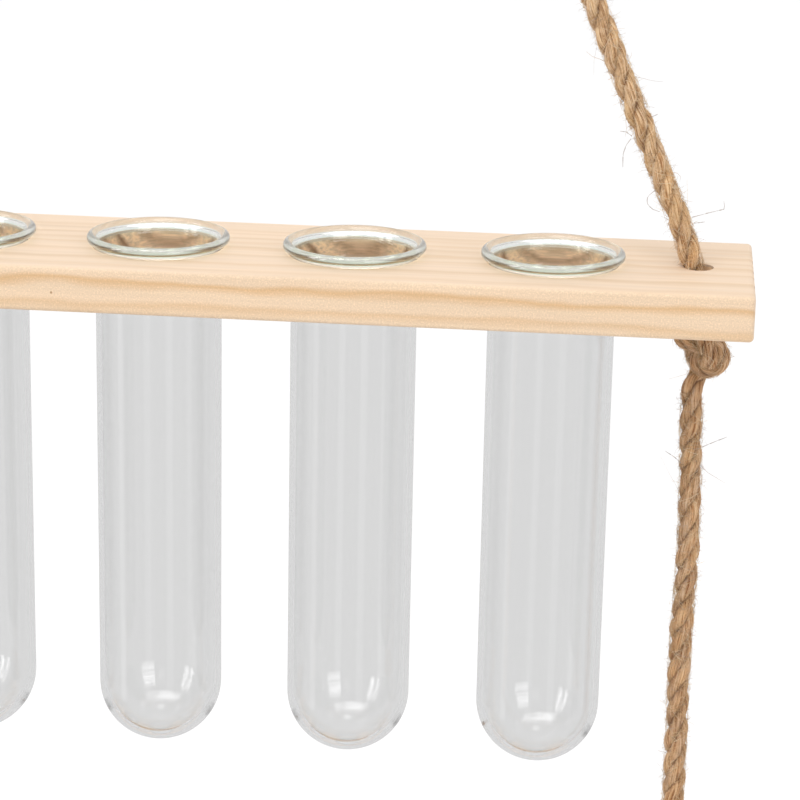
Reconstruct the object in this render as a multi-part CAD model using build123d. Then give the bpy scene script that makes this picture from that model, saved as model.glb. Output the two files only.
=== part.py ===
from build123d import *
import math
import os

# A hanging rack of test tube vases: two pine bars, one below the other, on one jute rope.
# Millimetres, +Z up, +X to the right, +Y towards the wall behind.
# The origin is the point inside the top of the hanging loop where a hook bears.

# Pine bars
bar_depth = 55.0
bar_thickness = 11.5
bar_edge_round = 1.2
tubes_per_bar = 5
tube_pitch = 50.0
bar_end_margin = 50.0
hang_height = 372.0
tier_drop = 200.0

# Glass tubes
tube_radius = 16.0
tube_length = 137.6
glass_wall = 1.3
glass_bottom = 2.0
lip_spread = 2.1
lip_bead_radius = 1.2
lip_rise = 1.8
flare_depth = 1.4
seat_gap = 0.3

# Jute rope
rope_radius = 2.8
rope_inset = 13.7
rope_hole_clearance = 0.95
rope_bend_height = 0.5
swing_gap = 0.3
lower_rope_bow = 0.5
lower_rope_bow_drop = 52.0
tail_length = 36.0
tail_bend_drop = 17.0
tail_sway = 3.0

# Knots under the bars
knot_height = 17.0
knot_wrap_radius = 4.4
knot_wrap_tilt = 25.0
knot_wrap_shift = 0.9
knot_upper_wrap_share = 0.3
knot_lower_wrap_share = 0.66

# Knot at the top, where both sides of the rope are tied together
apex_knot_height = 19.0
apex_knot_radius = 6.2
apex_wrap_radius = 6.5
apex_wrap_tilt = 20.0
apex_strand_offset = 3.2
apex_lead = 8.0
apex_wrap_shares = (0.3, 0.5, 0.7)

# Loop above that knot
loop_drop = 38.0
loop_half_width = 8.0
loop_shoulder_drop = 18.0
loop_lead = 7.0

# Share of the shorter run that each arc of a rope's route takes
bend_share = 0.45
cut_overrun = 1.0

# Places worked out from the sizes
rope_diameter = 2 * rope_radius
bar_length = (tubes_per_bar - 1) * tube_pitch + 2 * bar_end_margin
rope_x = bar_length / 2 - rope_inset
rope_hole_radius = rope_radius + rope_hole_clearance
upper_top = -hang_height
lower_top = upper_top - tier_drop
tube_places = [(i - (tubes_per_bar - 1) / 2) * tube_pitch for i in range(tubes_per_bar)]
sides = {"left": -1, "right": 1}

# The lip's outer flare touches the rolled bead from below, and the body at its foot
lip_centre = tube_radius + lip_spread - lip_bead_radius
flare_climb = lip_rise + flare_depth
outer_reach = lip_centre - tube_radius
flare_radius = (flare_climb**2 - lip_bead_radius**2 + outer_reach**2) / (2 * lip_spread)

# The bore's mouth opens in a wider arc that runs into the bead from inside
bore_radius = tube_radius - glass_wall
inner_reach = lip_centre - bore_radius
mouth_radius = (flare_climb**2 - lip_bead_radius**2 + inner_reach**2) / (
    2 * (inner_reach - lip_bead_radius)
)

# The tube hangs by its flare on the rim of its hole, so the gap there sets the hole's size
seat_reach = math.sqrt((flare_radius - seat_gap) ** 2 - flare_depth**2)
tube_hole_radius = tube_radius + flare_radius - seat_reach


def bend_radii(points):
    """The radius at each corner of a rope's route, as large as its two runs allow."""
    radii = []
    for before, corner, after in zip(points, points[1:], points[2:]):
        run_in = Vector(*corner) - Vector(*before)
        run_out = Vector(*after) - Vector(*corner)
        half_turn = math.radians(run_in.get_angle(run_out)) / 2
        radii.append(bend_share * min(run_in.length, run_out.length) / math.tan(half_turn))
    return radii


def rope_along(name, points):
    """A round rope on straight runs joined by tangent arcs, with its volume compared."""
    radii = bend_radii(points)
    path = FilletPolyline(*points, radius=radii)
    start = Plane(path @ 0, z_dir=path % 0)
    rope = sweep(start * Circle(rope_radius), path=path)
    by_length = math.pi * rope_radius**2 * path.length
    print(
        f"{name}: length {path.length:.1f} mm, bend radii {[round(r, 1) for r in radii]},",
        f"volume over section times length {rope.volume / by_length:.4f}",
    )
    return rope


def make_bar(top):
    """One bar, with a hole for each tube and one at each end for the rope."""
    bar = Pos(0, 0, top - bar_thickness / 2) * Box(bar_length, bar_depth, bar_thickness)
    bar = fillet(bar.edges(), bar_edge_round)
    cut_height = bar_thickness + 2 * cut_overrun
    for x in tube_places:
        bar -= Pos(x, 0, top - bar_thickness / 2) * Cylinder(tube_hole_radius, cut_height)
    for side in sides.values():
        hole = Cylinder(rope_hole_radius, cut_height)
        bar -= Pos(side * rope_x, 0, top - bar_thickness / 2) * hole
    return bar


def make_tube(x, top):
    """A round-bottomed glass tube, its lip just above the bar's top face."""
    bead = Vector(lip_centre, 0, lip_rise)
    foot_z = -flare_depth
    rim_top = lip_rise + lip_bead_radius
    floor_z = rim_top - tube_length
    outer_ball_z = floor_z + tube_radius
    inner_ball_z = floor_z + glass_bottom + bore_radius

    flare_centre = Vector(tube_radius + flare_radius, 0, foot_z)
    mouth_centre = Vector(bore_radius + mouth_radius, 0, foot_z)
    flare_meets = bead + (flare_centre - bead).normalized() * lip_bead_radius
    mouth_meets = bead + (bead - mouth_centre).normalized() * lip_bead_radius
    bead_outside = bead + Vector(lip_bead_radius, 0, 0)
    flare_half = flare_centre + (
        (flare_meets - flare_centre).normalized() + Vector(-1, 0, 0)
    ).normalized() * flare_radius
    mouth_half = mouth_centre + (
        (mouth_meets - mouth_centre).normalized() + Vector(-1, 0, 0)
    ).normalized() * mouth_radius
    diagonal = math.sqrt(0.5)

    outer_foot = Vector(0, 0, floor_z)
    outer_side = Vector(tube_radius, 0, outer_ball_z)
    outer_middle = Vector(tube_radius * diagonal, 0, outer_ball_z - tube_radius * diagonal)
    inner_foot = Vector(0, 0, floor_z + glass_bottom)
    inner_side = Vector(bore_radius, 0, inner_ball_z)
    inner_middle = Vector(bore_radius * diagonal, 0, inner_ball_z - bore_radius * diagonal)

    edges = [
        ThreePointArc(outer_foot, outer_middle, outer_side),
        Line(outer_side, Vector(tube_radius, 0, foot_z)),
        ThreePointArc(Vector(tube_radius, 0, foot_z), flare_half, flare_meets),
        ThreePointArc(flare_meets, bead_outside, mouth_meets),
        ThreePointArc(mouth_meets, mouth_half, Vector(bore_radius, 0, foot_z)),
        Line(Vector(bore_radius, 0, foot_z), inner_side),
        ThreePointArc(inner_side, inner_middle, inner_foot),
        Line(inner_foot, outer_foot),
    ]
    section = make_face(Wire(edges))
    return Pos(x, 0, top) * revolve(section, axis=Axis.Z)


def make_wraps(height, wrap_radius, tilt, shift, shares):
    """Turns of rope round a knot's middle, each tilted against the one before."""
    turns = []
    for i, share in enumerate(shares):
        lean = tilt if i % 2 else -tilt
        turn = Torus(wrap_radius, rope_radius)
        turns.append(Pos(shift, 0, -share * height) * Rot(0, lean, 0) * turn)
    return turns


def make_stopper_knot(x, side, top):
    """The knot that a bar rests on: the rope's own line with two tilted turns round it."""
    core = Pos(0, 0, -knot_height / 2) * Cylinder(rope_radius, knot_height)
    shares = (knot_upper_wrap_share, knot_lower_wrap_share)
    wraps = make_wraps(knot_height, knot_wrap_radius, side * knot_wrap_tilt,
                       side * knot_wrap_shift, shares)
    knot = core
    for wrap in wraps:
        knot += wrap
    return Pos(x, 0, top) * knot


def make_apex_knot(top):
    """Both sides of the rope tied together, wide enough to take the two ends side by side."""
    knot = Pos(0, 0, -apex_knot_height / 2) * Cylinder(apex_knot_radius, apex_knot_height)
    wraps = make_wraps(apex_knot_height, apex_wrap_radius, apex_wrap_tilt, 0, apex_wrap_shares)
    for wrap in wraps:
        knot += wrap
    return Pos(0, 0, top) * knot


def make_hanging_loop():
    """The closed end of the rope above the top knot, round a hook at the origin."""
    # Three corners of a sixth of a turn each make the half circle over the hook
    half_corner = math.radians(30)
    corner_run = 2 * loop_half_width * math.tan(half_corner)
    corner_radius = bend_share * corner_run / math.tan(half_corner)
    crown = rope_radius + corner_radius * (1 / math.cos(half_corner) - 1)
    shoulder = crown - loop_half_width * math.tan(half_corner)
    half = [
        (apex_strand_offset, -loop_drop),
        (apex_strand_offset, -loop_drop + loop_lead),
        (loop_half_width, -loop_shoulder_drop),
        (loop_half_width, shoulder),
    ]
    points = [(-x, 0, z) for x, z in half]
    points.append((0, 0, crown))
    points += [(x, 0, z) for x, z in reversed(half)]
    return rope_along("hanging_loop", points)


def make_upper_rope(name, side):
    """One side of the V, from the top knot through the upper bar to its stopper knot."""
    knot_bottom = -loop_drop - apex_knot_height
    points = [
        (side * apex_strand_offset, 0, knot_bottom),
        (side * apex_strand_offset, 0, knot_bottom - apex_lead),
        (side * rope_x, 0, upper_top + rope_bend_height),
        (side * rope_x, 0, upper_top - bar_thickness),
    ]
    return rope_along(name, points)


def make_lower_rope(name, side):
    """The plumb stretch between the tiers; its domed top swings under the stopper knot."""
    swing_z = upper_top - bar_thickness - knot_height - swing_gap - rope_radius
    points = [
        (side * rope_x, 0, swing_z),
        (side * (rope_x + lower_rope_bow), 0, swing_z - lower_rope_bow_drop),
        (side * rope_x, 0, lower_top),
        (side * rope_x, 0, lower_top - bar_thickness),
    ]
    rope = rope_along(name, points)
    return rope + Pos(*points[0]) * Sphere(rope_radius)


def make_tail(name, side):
    """The cut end of the rope below the last knot, swaying a little outwards."""
    top = lower_top - bar_thickness - knot_height
    points = [
        (side * rope_x, 0, top),
        (side * rope_x, 0, top - tail_bend_drop),
        (side * (rope_x + tail_sway), 0, top - tail_length),
    ]
    return rope_along(name, points)


parts = {"upper_bar": make_bar(upper_top), "lower_bar": make_bar(lower_top)}
for i, x in enumerate(tube_places, start=1):
    parts[f"test_tube_upper_{i}"] = make_tube(x, upper_top)
    parts[f"test_tube_lower_{i}"] = make_tube(x, lower_top)
parts["hanging_loop"] = make_hanging_loop()
parts["apex_knot"] = make_apex_knot(-loop_drop)
for side_name, side in sides.items():
    x = side * rope_x
    parts[f"rope_upper_{side_name}"] = make_upper_rope(f"rope_upper_{side_name}", side)
    parts[f"knot_upper_{side_name}"] = make_stopper_knot(x, side, upper_top - bar_thickness)
    parts[f"rope_lower_{side_name}"] = make_lower_rope(f"rope_lower_{side_name}", side)
    parts[f"knot_lower_{side_name}"] = make_stopper_knot(x, side, lower_top - bar_thickness)
    parts[f"rope_tail_{side_name}"] = make_tail(f"rope_tail_{side_name}", side)

os.makedirs("parts", exist_ok=True)
for node, shape in parts.items():
    shape.label = node
    export_step(shape, f"parts/{node}.step")

print(
    f"bar {bar_length:.1f} mm long, tube hole radius {tube_hole_radius:.2f} mm,",
    f"flare radius {flare_radius:.2f} mm, rope hole radius {rope_hole_radius:.2f} mm",
)
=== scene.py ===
import math
import bpy
import numpy as np
from mathutils import Matrix, Vector


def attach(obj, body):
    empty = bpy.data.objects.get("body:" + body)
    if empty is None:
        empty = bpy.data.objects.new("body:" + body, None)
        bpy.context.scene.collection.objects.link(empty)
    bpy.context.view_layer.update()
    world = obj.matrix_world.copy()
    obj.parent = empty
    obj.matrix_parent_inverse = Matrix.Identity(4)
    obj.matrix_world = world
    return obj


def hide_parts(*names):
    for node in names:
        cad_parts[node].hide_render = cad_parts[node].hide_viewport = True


# A hanging rack of test tube vases: glass tubes in two pine bars on one jute rope.
# Metres, +Z up, +X along the bars, +Y towards the wall. The origin is where the hook bears.

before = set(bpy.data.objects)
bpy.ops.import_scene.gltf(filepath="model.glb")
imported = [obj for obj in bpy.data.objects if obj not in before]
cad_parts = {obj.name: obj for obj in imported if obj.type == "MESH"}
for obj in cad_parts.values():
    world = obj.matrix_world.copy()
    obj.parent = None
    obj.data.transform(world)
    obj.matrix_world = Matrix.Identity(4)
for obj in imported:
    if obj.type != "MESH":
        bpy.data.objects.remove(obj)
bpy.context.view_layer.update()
mm = 0.001


# Camera

photoCamera = {
    "place": (0.1261, -0.6957, -0.1956),
    "yaw": -5.245,      # degrees, to the right of straight at the wall
    "pitch": 17.086,    # degrees down
    "roll": 1.171,      # degrees
    "lens": 128.77,
    "sensor": 36.0,
}


def makeCamera(settings):
    # the view line is turned by yaw and pitch, then the frame turns about that line by roll
    yaw, pitch, roll = (math.radians(settings[k]) for k in ("yaw", "pitch", "roll"))
    forward = Vector((
        math.sin(yaw) * math.cos(pitch),
        math.cos(yaw) * math.cos(pitch),
        -math.sin(pitch),
    ))
    level = Vector((math.cos(yaw), -math.sin(yaw), 0))
    upright = level.cross(forward)
    right = math.cos(roll) * level + math.sin(roll) * upright
    up = math.cos(roll) * upright - math.sin(roll) * level
    data = bpy.data.cameras.new("photoCamera")
    data.lens = settings["lens"]
    data.sensor_width = settings["sensor"]
    data.clip_start = 0.01
    data.clip_end = 50
    holder = bpy.data.objects.new("photoCamera", data)
    bpy.context.scene.collection.objects.link(holder)
    turn = Matrix((right, up, -forward)).transposed().to_4x4()
    holder.matrix_world = Matrix.Translation(settings["place"]) @ turn
    bpy.context.scene.camera = holder


makeCamera(photoCamera)
print("camera placed")


# Shading helpers

def newMaterial(name, kind="ShaderNodeBsdfPrincipled"):
    # a material with one shader and nothing else in it
    material = bpy.data.materials.new(name)
    material.use_nodes = True
    tree = material.node_tree
    tree.nodes.clear()
    shader = tree.nodes.new(kind)
    output = tree.nodes.new("ShaderNodeOutputMaterial")
    tree.links.new(shader.outputs[0], output.inputs["Surface"])
    return material, tree, shader


def setSockets(shader, values):
    # plain values on the shader's own sockets
    for key, value in values.items():
        shader.inputs[key].default_value = value


def feed(tree, socket, value):
    # a socket takes a link or a plain value
    if isinstance(value, bpy.types.NodeSocket):
        tree.links.new(value, socket)
    else:
        socket.default_value = value


def onPiece(tree):
    # the place in the piece's own coordinates
    return tree.nodes.new("ShaderNodeTexCoord").outputs["Object"]


def attribute(tree, name, output="Fac"):
    # a value that the mesh carries at each point
    node = tree.nodes.new("ShaderNodeAttribute")
    node.attribute_name = name
    return node.outputs[output]


def split(tree, vector):
    # x, y and z of a vector
    node = tree.nodes.new("ShaderNodeSeparateXYZ")
    feed(tree, node.inputs[0], vector)
    return node.outputs


def sums(tree, operation, first, second=0.0, third=0.0):
    # one step of arithmetic
    node = tree.nodes.new("ShaderNodeMath")
    node.operation = operation
    for socket, value in zip(node.inputs, (first, second, third)):
        feed(tree, socket, value)
    return node.outputs[0]


def fromAxis(tree, first, second):
    # the distance from a line: the root of the sum of two squares
    squares = sums(tree, "ADD", sums(tree, "POWER", first, 2.0), sums(tree, "POWER", second, 2.0))
    return sums(tree, "SQRT", squares)


def mixColour(tree, amount, first, second, blend="MIX"):
    # from the first colour to the second by the amount
    node = tree.nodes.new("ShaderNodeMix")
    node.data_type = "RGBA"
    node.blend_type = blend
    for number, value in ((0, amount), (6, first), (7, second)):
        feed(tree, node.inputs[number], value)
    return node.outputs[2]


def stretched(tree, vector, scale, shift=(0.0, 0.0, 0.0)):
    # the place times scale, plus shift
    node = tree.nodes.new("ShaderNodeMapping")
    feed(tree, node.inputs["Vector"], vector)
    node.inputs["Location"].default_value = shift
    node.inputs["Scale"].default_value = scale
    return node.outputs["Vector"]


def grain(tree, vector, scale, detail=2.0, roughness=0.5, shift=(0.0, 0.0, 0.0)):
    # noise read at the stretched place
    node = tree.nodes.new("ShaderNodeTexNoise")
    feed(tree, node.inputs["Vector"], stretched(tree, vector, scale, shift))
    setSockets(node, {"Scale": 1.0, "Detail": detail, "Roughness": roughness})
    return node.outputs["Fac"]


def grains(tree, vector, kinds, shift=(0.0, 0.0, 0.0)):
    # one noise for each kind, drawn out along X
    return [
        grain(tree, vector, (along, across, across), detail, roughness, shift)
        for along, across, detail, roughness in kinds.values()
    ]


def spread(tree, value, fromLow, fromHigh, toLow=0.0, toHigh=1.0):
    # the value's range moved to another range, and held inside it
    node = tree.nodes.new("ShaderNodeMapRange")
    for socket, v in zip(node.inputs, (value, fromLow, fromHigh, toLow, toHigh)):
        feed(tree, socket, v)
    return node.outputs[0]


def swing(tree, noise, low, high):
    # noise, which stays mostly between 0.3 and 0.7, read as low to high
    return spread(tree, noise, 0.3, 0.7, low, high)


def roughen(tree, shader, height, strength, distance):
    # small relief from a height
    node = tree.nodes.new("ShaderNodeBump")
    setSockets(node, {"Strength": strength, "Distance": distance})
    feed(tree, node.inputs["Height"], height)
    tree.links.new(node.outputs["Normal"], shader.inputs["Normal"])


def linear(hexColour):
    # screen colour to linear light
    parts = [int(hexColour[i:i + 2], 16) / 255 for i in (0, 2, 4)]
    return tuple(p / 12.92 if p <= 0.04045 else ((p + 0.055) / 1.055) ** 2.4 for p in parts) + (1.0,)


def ramp(tree, value, stops):
    # Colours between stops, each a place and a screen colour or a grey level.
    # The marks sort themselves by place, so the colours go in once all places are set.
    node = tree.nodes.new("ShaderNodeValToRGB")
    marks = node.color_ramp.elements
    while len(marks) < len(stops):
        marks.new(0.5)
    for mark, (place, colour) in zip(marks, stops):
        mark.position = place
    for mark, (place, colour) in zip(marks, stops):
        mark.color = linear(colour) if isinstance(colour, str) else (colour, colour, colour, 1.0)
    feed(tree, node.inputs["Fac"], value)
    return node.outputs["Color"]


# Mesh helpers

def putMesh(name, points, quads, triangles, material, attributes=None):
    # points, four-sided and three-sided faces as whole arrays
    mesh = bpy.data.meshes.new(name)
    quads = np.asarray(quads, np.int32).reshape(-1, 4)
    triangles = np.asarray(triangles, np.int32).reshape(-1, 3)
    mesh.vertices.add(len(points))
    mesh.vertices.foreach_set("co", np.asarray(points, np.float32).ravel())
    mesh.loops.add(quads.size + triangles.size)
    mesh.loops.foreach_set("vertex_index", np.concatenate([quads.ravel(), triangles.ravel()]))
    sizes = np.repeat([4, 3], [len(quads), len(triangles)]).astype(np.int32)
    mesh.polygons.add(len(sizes))
    starts = np.concatenate([[0], np.cumsum(sizes)[:-1]])
    mesh.polygons.foreach_set("loop_start", starts.astype(np.int32))
    mesh.polygons.foreach_set("loop_total", sizes)
    mesh.polygons.foreach_set("use_smooth", np.ones(len(sizes), bool))
    mesh.update(calc_edges=True)
    for key, values in (attributes or {}).items():
        values = np.asarray(values, np.float32)
        kind = "FLOAT_VECTOR" if values.ndim == 2 else "FLOAT"
        layer = mesh.attributes.new(key, kind, "POINT")
        layer.data.foreach_set("vector" if values.ndim == 2 else "value", values.ravel())
    mesh.materials.append(material)
    piece = bpy.data.objects.new(name, mesh)
    bpy.context.scene.collection.objects.link(piece)
    return piece


def tubeFaces(rings, sides, first=0):
    # a closed tube: quads from ring to ring, and a fan from each end's middle point, which come last
    i, j = np.meshgrid(np.arange(rings - 1), np.arange(sides), indexing="ij")
    k = (j + 1) % sides
    quads = np.stack([i * sides + j, i * sides + k, (i + 1) * sides + k, (i + 1) * sides + j], -1)
    around = np.arange(sides)
    beyond = (around + 1) % sides
    startPole = np.full(sides, rings * sides)
    endPole = startPole + 1
    last = (rings - 1) * sides
    fans = np.concatenate([
        np.stack([startPole, beyond, around], -1),
        np.stack([endPole, last + around, last + beyond], -1),
    ])
    return quads.reshape(-1, 4) + first, fans + first


def unit(vectors):
    # each vector over its own length
    return vectors / np.maximum(np.linalg.norm(vectors, axis=-1, keepdims=True), 1e-12)


def arcLength(line):
    # how far along the line each of its points is
    return np.concatenate([[0], np.cumsum(np.linalg.norm(np.diff(line, axis=0), axis=1))])


def resampled(line, count):
    # the same line with that many points evenly along it
    s = arcLength(line)
    t = np.linspace(0, s[-1], count)
    return np.stack([np.interp(t, s, line[:, axis]) for axis in range(3)], 1)


def evenly(line, step):
    # the same line with its points one step apart
    return resampled(line, max(int(round(arcLength(line)[-1] / step)) + 1, 4))


def quietFrames(line, firstSide=(1.0, 0.0, 0.0)):
    # a side direction square to the line that never spins about it: any side is taken,
    # each step's spin is measured by carrying it on one step, and the running total is undone
    along = unit(np.gradient(line, axis=0))
    side = unit(np.cross(along, (0.213, 0.857, 0.469)))
    axis = np.cross(along[:-1], along[1:])
    cosine = (along[:-1] * along[1:]).sum(1, keepdims=True)
    old = side[:-1]
    carried = old * cosine + np.cross(axis, old)
    carried += axis * (axis * old).sum(1, keepdims=True) / (1 + cosine)
    across = np.cross(along[1:], side[1:])
    spin = np.arctan2((carried * across).sum(1), (carried * side[1:]).sum(1))
    total = np.concatenate([[0], np.cumsum(spin)])
    wanted = np.asarray(firstSide) - along[0] * (along[0] @ np.asarray(firstSide))
    total = total + math.atan2(wanted @ np.cross(along[0], side[0]), wanted @ side[0])
    turned = side * np.cos(total)[:, None] + np.cross(along, side) * np.sin(total)[:, None]
    return along, turned, np.cross(along, turned)


def drift(s, kind, seed):
    # a slow wander to about the given size each way: sines of the given wavelengths, chance phases
    size, waves = kind
    phases = np.random.default_rng(seed).uniform(0, 2 * np.pi, len(waves))
    total = np.sin(2 * np.pi * np.asarray(s)[..., None] / np.asarray(waves) + phases).sum(-1)
    return size * total / math.sqrt(len(waves))


# Jute rope

ropeLook = {
    "radius": 2.8,          # mm
    "strandShare": 0.55,    # a strand's radius as a share of the rope's
    "offsetShare": 0.465,   # how far a strand's middle is from the rope's
    "lay": 19.0,            # mm for one turn of the strands
    "sides": 32,
    "step": 0.7,            # mm between rings
    "yarnTurn": 12.0,       # mm for one turn of the yarn in a strand, the other way round
    "sunk": 0.04,           # the share by which a stretch's first ring is thinner
    "ridges": ((4, 23.0, 0.030), (7, 31.0, 0.032), (10, 17.0, 0.022)),   # how many, mm of drift, height
    # slow changes: how much, and their wavelengths in mm
    "thickDrift": (0.045, (11.0, 17.0, 37.0)),
    "layDrift": (0.22, (31.0, 53.0)),
    "looseDrift": (0.11, (9.0, 15.0, 26.0)),
    "lumps": (0.09, (3.1, 5.3, 8.7)),
    "calm": (1.0, 3.0),     # mm from each end: no lumps up to the first, all of them from the second
    "grooveShadeShare": (0.95, 0.34),   # distance from the line where the painted shade of the grooves starts, and its width
    "grains": {
        # noise waves per mm along and across a strand, detail, roughness
        "lines": (0.11, 2.3, 3.0, 0.65),
        "threads": (0.4, 6.0, 2.0, 0.6),
        "patches": (0.09, 0.35, 2.0, 0.5),
    },
    "threadShare": 0.45,
    "tones": ((0.37, "875424"), (0.46, "C99D70"), (0.54, "EFD0A8"), (0.64, "FAE6C6")),
    "golden": (1.05, 0.975, 0.86, 1.0),
    "pinkish": (0.98, 0.965, 0.99, 1.0),
    "patchRange": (0.38, 0.62),
    # painted shade in the crevices between the strands: its colour, and how much of it at the deepest
    "creviceShade": "5E3312",
    "creviceShadeShare": 0.85,
    "shadeBelowBar": (0.87, 0.80, 0.77, 1.0),   # painted shade: the rope below the upper bar is darker, as the bar is over it
    "barHeight": (-0.380, -0.384),         # m, where that starts and is full
    "sockets": {
        "Roughness": 0.85,
        "Specular IOR Level": 0.25,
        "Sheen Weight": 0.12,
        "Sheen Roughness": 0.5,
    },
    "relief": (1.0, 0.0009),
}
fibreLook = {
    # from greyish brown to nearly white
    "tones": ((0.0, "C4BBB6"), (0.15, "93704E"), (0.45, "C09868"), (0.75, "E6C596"), (1.0, "FAEACE")),
    "sockets": {"Roughness": 0.6, "Specular IOR Level": 0.3},
}


def makeJute(name, settings):
    # fibres run along the strands' own coordinates: length, and the place round the yarn
    material, tree, shader = newMaterial(name)
    lines, threads, patches = grains(tree, attribute(tree, "yarn", "Vector"), settings["grains"])
    share = settings["threadShare"]
    blend = sums(tree, "MULTIPLY_ADD", threads, share, sums(tree, "MULTIPLY", lines, 1 - share))
    colour = ramp(tree, blend, settings["tones"])
    patch = spread(tree, patches, *settings["patchRange"])
    tone = mixColour(tree, patch, settings["golden"], settings["pinkish"])
    toned = mixColour(tree, 1.0, colour, tone, "MULTIPLY")
    # painted shade under the upper bar: the rope below its underside is darker
    below = spread(tree, split(tree, onPiece(tree))[2], *settings["barHeight"])
    darker = mixColour(tree, 1.0, toned, settings["shadeBelowBar"], "MULTIPLY")
    toned = mixColour(tree, below, toned, darker)
    # painted shade: darker towards the rope's line, down in the grooves between the strands
    deep = sums(tree, "POWER", attribute(tree, "grooveShade"), 1.7)
    deep = sums(tree, "MULTIPLY", deep, settings["creviceShadeShare"])
    shaded = mixColour(tree, deep, toned, linear(settings["creviceShade"]))
    feed(tree, shader.inputs["Base Color"], shaded)
    setSockets(shader, settings["sockets"])
    roughen(tree, shader, blend, *settings["relief"])
    return material


def makeFibre(name, settings):
    # single fibres, each with its own tone
    material, tree, shader = newMaterial(name)
    feed(tree, shader.inputs["Base Color"], ramp(tree, attribute(tree, "tone"), settings["tones"]))
    setSockets(shader, settings["sockets"])
    return material


jute = makeJute("juteRope", ropeLook)
fibreMaterial = makeFibre("juteFibre", fibreLook)


def strandSurfaces(line, frames, firstTurn, seed, look, radius, begin=0.0):
    # Three strands wound on the line. A strand's middle circles the line once per lay. Its ring is
    # square to its own path, and its radius carries ridges that turn with the yarn, and slow lumps.
    # Near both ends the lumps fade out, so that the next stretch runs on from the same ring.
    # Everything is in mm, in arrays ordered strand, ring, place round the strand. The strands
    # read their chance drifts far apart (40, 60, 400) so that no two of them look alike.
    along, side, across = frames
    s = arcLength(line)
    radius = np.broadcast_to(np.asarray(radius, float), s.shape)
    calmTo, roughFrom = look["calm"]
    rough = np.clip((np.minimum(s, s[-1] - s) - calmTo) / (roughFrom - calmTo), 0, 1)
    wander = 1 + rough * drift(s, look["thickDrift"], seed)
    layTurn = firstTurn + 2 * np.pi * s / look["lay"] + rough * drift(s, look["layDrift"], seed + 1)
    strand = np.arange(3)[:, None]
    turn = layTurn[None] + strand * 2 * np.pi / 3
    outward = np.cos(turn)[..., None] * side + np.sin(turn)[..., None] * across
    loose = 1 + rough * drift(s + 40 * strand, look["looseDrift"], seed + 2)
    middle = line + (radius * look["offsetShare"] * wander * loose)[..., None] * outward
    path = unit(np.gradient(middle, axis=1))
    out = unit(outward - path * (outward * path).sum(-1, keepdims=True))
    beside = np.cross(path, out)
    around = np.linspace(0, 2 * np.pi, look["sides"], endpoint=False)
    far = (begin + s)[None, :, None]
    yarn = around + 2 * np.pi * far / look["yarnTurn"] + strand[..., None] * 1.7
    lumpPlace = s[None, :, None] + 60 * strand[..., None] + 1.2 * np.sin(around)
    relief = drift(lumpPlace, look["lumps"], seed + 3)
    for count, run, height in look["ridges"]:
        relief = relief + height * np.cos(count * yarn + 2 * np.pi * far / run)
    size = (radius * look["strandShare"] * wander)[None, :, None] * (1 + rough[None, :, None] * relief)
    ring = np.cos(around)[:, None] * out[:, :, None] + np.sin(around)[:, None] * beside[:, :, None]
    points = middle[:, :, None] + size[..., None] * ring
    # how near each point lies to the rope's line, for the painted shade in the grooves
    fromLine = np.linalg.norm(points - line[None, :, None], axis=-1) / radius[None, :, None]
    grooveFrom, grooveWide = look["grooveShadeShare"]
    grooveShade = np.clip((grooveFrom - fromLine) / grooveWide, 0, 1)
    yarnPlace = np.stack([
        np.broadcast_to(far + 400 * strand[..., None], yarn.shape),
        1.6 * np.cos(yarn),
        1.6 * np.sin(yarn),
    ], -1)
    return middle, points, grooveShade, yarnPlace


def ropeMesh(name, parts, look):
    # each strand is a closed tube, and all strands of all parts make one mesh
    allPoints, allQuads, allFans, allGrooveShade, allYarn = [], [], [], [], []
    first = 0
    for middle, points, grooveShade, yarnPlace in parts:
        for strand in range(3):
            rings, sides = points.shape[1:3]
            quads, fans = tubeFaces(rings, sides, first)
            ends = middle[strand][[0, -1]]
            allPoints += [points[strand].reshape(-1, 3), ends]
            # the middle points at the ends take the full painted shade
            allGrooveShade += [grooveShade[strand].ravel(), [1.0, 1.0]]
            allYarn += [yarnPlace[strand].reshape(-1, 3), yarnPlace[strand][[0, -1], 0]]
            allQuads.append(quads)
            allFans.append(fans)
            first += rings * sides + 2
    attributes = {"grooveShade": np.concatenate(allGrooveShade), "yarn": np.concatenate(allYarn)}
    points = np.concatenate(allPoints) * mm
    return putMesh(name, points, np.concatenate(allQuads), np.concatenate(allFans), jute, attributes)


fuzzLook = {
    # per mm: how many. length and thick in mm. root and rise: where a fibre starts and how far it
    # climbs per mm, in rope radii. swing: radians round the rope per mm. sway and wild: how curly.
    "points": 4,
    "tip": 0.35,             # a tip's thickness as a share of its root's
    "longThick": 0.14,       # mm, the long strays
    "longForward": -1.0,     # mm, where they stand
    "kinds": {
        "lying": {
            "perMm": 5.0, "length": (2.0, 7.0), "root": (0.99, 1.06), "rise": (0.0, 0.025),
            "swing": 0.26, "sway": 0.3, "wild": 0.03, "thick": 0.045, "tone": (0.45, 1.0),
        },
        "crossing": {
            "perMm": 4.0, "length": (1.5, 5.0), "root": (1.0, 1.10), "rise": (0.0, 0.03),
            "swing": 0.6, "sway": 0.5, "wild": 0.04, "thick": 0.06, "tone": (0.55, 1.0),
        },
        "standing": {
            "perMm": 15.0, "length": (0.6, 2.2), "root": (0.88, 1.04), "rise": (0.14, 0.42),
            "swing": 0.4, "sway": 0.2, "wild": 0.25, "thick": 0.042, "tone": (0.0, 0.75),
        },
        "stray": {
            "perMm": 0.12, "length": (4.0, 11.0), "root": (0.85, 1.0), "rise": (0.10, 0.30),
            "swing": 0.12, "sway": 0.3, "wild": 0.45, "thick": 0.05, "tone": (0.0, 0.6),
        },
    },
}
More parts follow.
